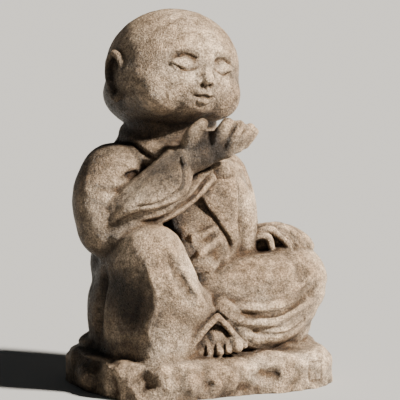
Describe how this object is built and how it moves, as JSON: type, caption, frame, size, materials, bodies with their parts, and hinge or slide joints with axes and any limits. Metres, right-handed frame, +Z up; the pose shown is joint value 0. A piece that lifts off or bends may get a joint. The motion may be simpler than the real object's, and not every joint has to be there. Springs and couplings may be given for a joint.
{
  "type": "statuette",
  "caption": "Seated child monk in cast stone on a rock plinth, right knee up, right hand held open under the chin, left hand on the left knee",
  "frame": {"origin": "middle of the plinth's flat underside", "axes": "+Z up; the figure and its raised knee face -Y; its right hand is on the -X side"},
  "size_m": [0.271, 0.2172, 0.3969],
  "materials": {
    "cast_stone": "rough cast stone with a worn, greyish brown patina"
  },
  "bodies": {
    "root": {"monk_statuette": "cast_stone"}
  },
  "joints": []
}
